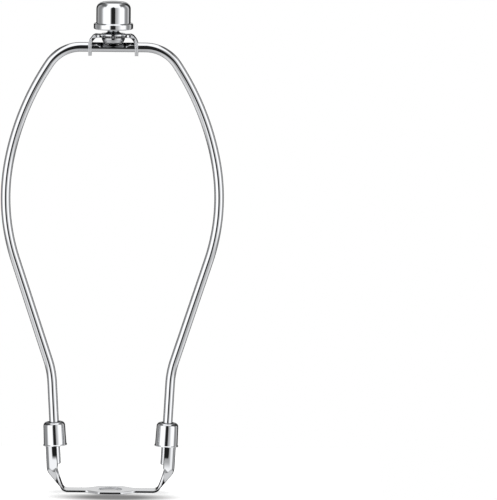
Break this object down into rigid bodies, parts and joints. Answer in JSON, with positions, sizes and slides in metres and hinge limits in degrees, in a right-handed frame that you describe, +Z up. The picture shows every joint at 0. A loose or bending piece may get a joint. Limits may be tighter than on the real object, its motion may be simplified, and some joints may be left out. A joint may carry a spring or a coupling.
{
  "type": "lamp harp",
  "caption": "Chrome-plated sprung wire lamp harp on a stamped saddle with sliding ferrules, a swivel bracket, a threaded stud and a turned finial.",
  "frame": {"origin": "centre of the saddle hole, on the saddle's underside, where the harp stands on its lamp holder", "axes": "+Z up along the saddle hole, +X across the bow towards the right leg, +Y to the back of the harp"},
  "size_m": [0.0982, 0.0172, 0.2177],
  "materials": {
    "chrome": "bright polished plating on steel",
    "plated_steel": "plated steel, cut thread, slightly dull"
  },
  "bodies": {
    "frame": {"saddle": "chrome", "harp_wire": "chrome"},
    "ferrule_l": {"ferrule_left": "chrome"},
    "ferrule_r": {"ferrule_right": "chrome"},
    "swivel": {"swivel_bracket": "chrome", "threaded_stud": "plated_steel", "rivet_cup": "chrome"},
    "cap": {"finial": "chrome"}
  },
  "joints": [
    {"name": "ferrule_left_slide", "type": "slide", "parent": "frame", "child": "ferrule_l", "axis": [-0.0532, 0, 0.9986], "range_m": [0, 0.014]},
    {"name": "ferrule_right_slide", "type": "slide", "parent": "frame", "child": "ferrule_r", "axis": [0.0532, 0, 0.9986], "range_m": [0, 0.014]},
    {"name": "bracket_swivel", "type": "hinge", "parent": "frame", "child": "swivel", "pos_m": [0, 0, 0.1974], "axis": [1, 0, 0], "range_deg": [-12, 12]},
    {"name": "finial_lift", "type": "slide", "parent": "swivel", "child": "cap", "axis": [0, 0, 1], "range_m": [0, 0.012]}
  ]
}
